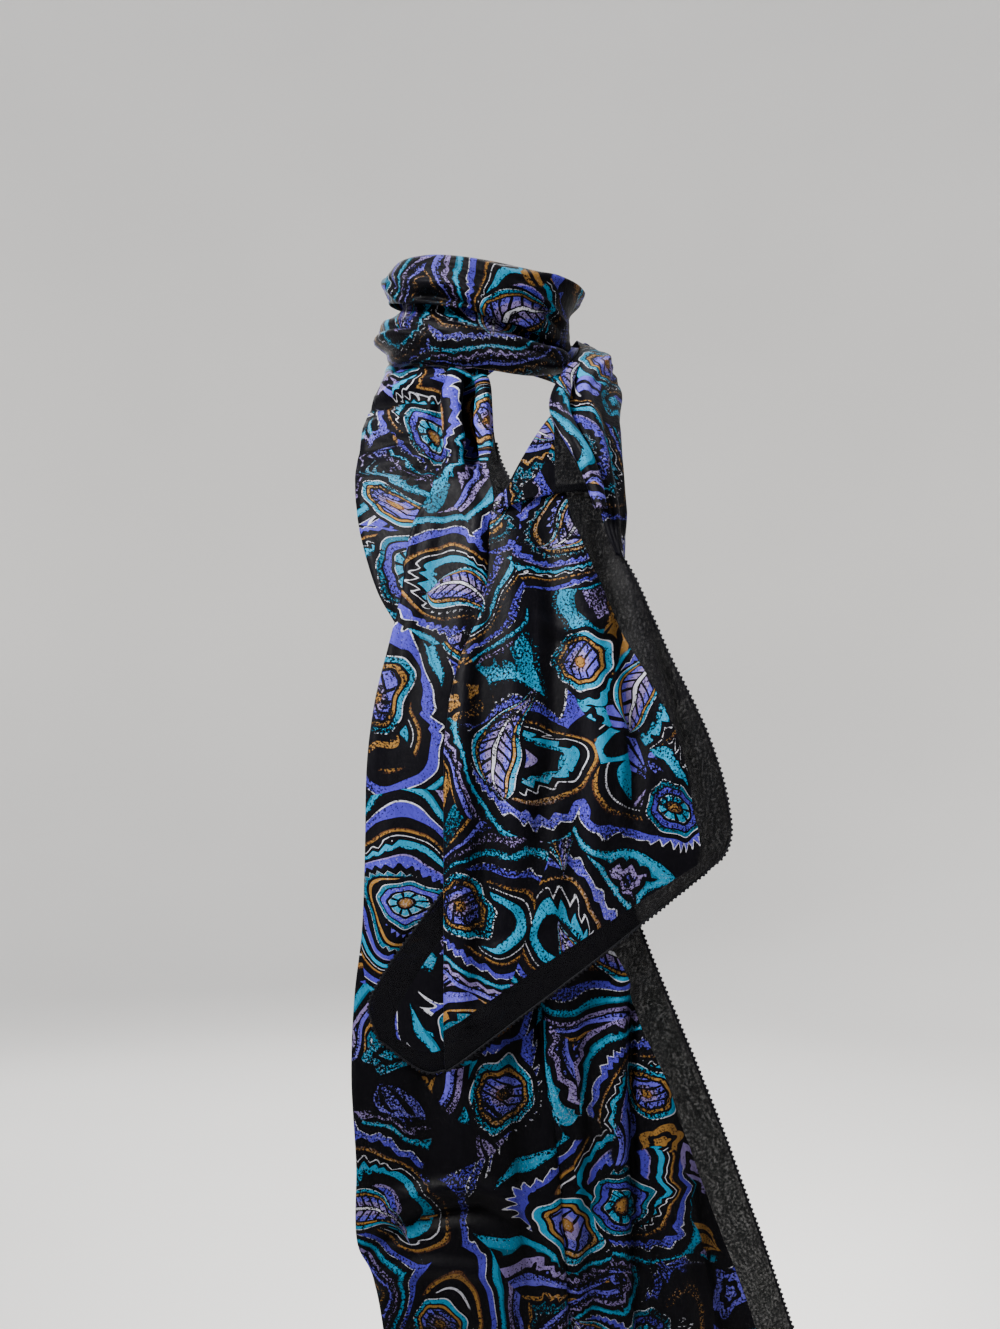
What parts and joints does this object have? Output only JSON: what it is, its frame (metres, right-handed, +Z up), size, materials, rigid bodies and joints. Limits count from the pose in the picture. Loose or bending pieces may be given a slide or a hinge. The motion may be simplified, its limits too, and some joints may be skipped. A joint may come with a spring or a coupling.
{
  "type": "silk scarf",
  "caption": "Long silk scarf in its worn form: a soft rolled collar round an open neck, with a short pointed tail lying over a long wide one in front.",
  "frame": {"origin": "on the axis of the neck that the scarf goes round, at mid-height of the collar", "axes": "+Z up, -Y to the front of the wearer, +X to the viewer's right"},
  "size_m": [0.3137, 0.2237, 0.8366],
  "materials": {
    "printed_silk": "thin silk crepe with a soft sheen, printed in violet, teal, lavender and ochre on black",
    "plain_border": "the same crepe dyed plain black, slightly see-through where it is a single layer",
    "hem_thread": "black picot hem thread, matt"
  },
  "bodies": {
    "root": {"collar_upper_roll": "printed_silk", "collar_lower_roll": "printed_silk", "nape_inner_pass": "printed_silk", "nape_outer_pass": "printed_silk", "left_tail_upper": "printed_silk", "left_tail_lower": "printed_silk", "right_tail_shoulder": "printed_silk", "right_tail_roll": "printed_silk", "right_tail_flap": "plain_border", "right_tail_panel": "printed_silk"}
  },
  "joints": []
}
